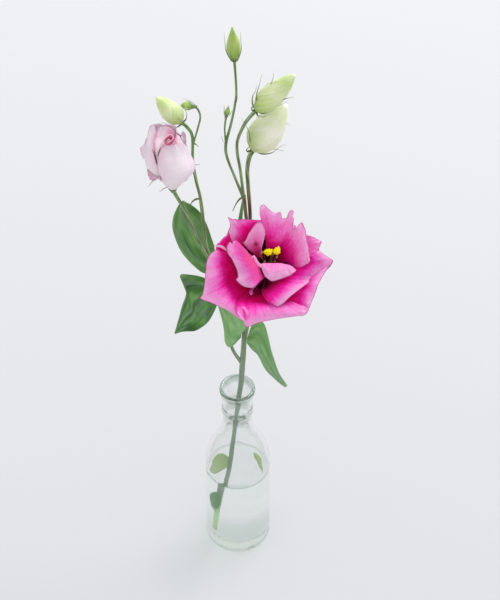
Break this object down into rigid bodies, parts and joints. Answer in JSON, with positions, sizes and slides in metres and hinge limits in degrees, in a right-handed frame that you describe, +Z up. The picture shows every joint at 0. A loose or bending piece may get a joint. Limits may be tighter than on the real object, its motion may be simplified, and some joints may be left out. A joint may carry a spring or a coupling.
{
  "type": "lisianthus spray in a small clear bottle vase",
  "caption": "Branched lisianthus stem with an open magenta flower, a half-open pale flower, green buds and broad leaves, standing in a small clear glass bottle of water.",
  "frame": {"origin": "centre of the bottle's flat foot, on the surface it stands on", "axes": "+Z up along the bottle's axis; the open flower faces -Y and up; +X to the right as seen from the front"},
  "size_m": [0.1072, 0.0968, 0.3928],
  "materials": {
    "clear_glass": "gloss",
    "water": "gloss",
    "stem_green": "satin",
    "leaf_green": "satin",
    "petal_magenta": "matte",
    "petal_pale": "matte",
    "bud_green": "satin",
    "bud_cream": "satin",
    "pistil_green": "satin",
    "stigma_yellow": "matte"
  },
  "bodies": {
    "root": {"bottle": "clear_glass", "water": "water", "stems": "stem_green", "leaf_behind": "leaf_green", "leaf_low_left": "leaf_green", "leaf_centre": "leaf_green", "leaf_right": "leaf_green", "leaf_narrow": "leaf_green", "petals_open": "petal_magenta", "pistil": "pistil_green", "stigma": "stigma_yellow", "petals_pale": "petal_pale", "bud_top": "bud_green", "bud_left": "bud_green", "bud_small_left": "bud_green", "bud_tiny": "bud_green", "bud_upper_right": "bud_green", "bud_lower_right": "bud_cream"}
  },
  "joints": []
}
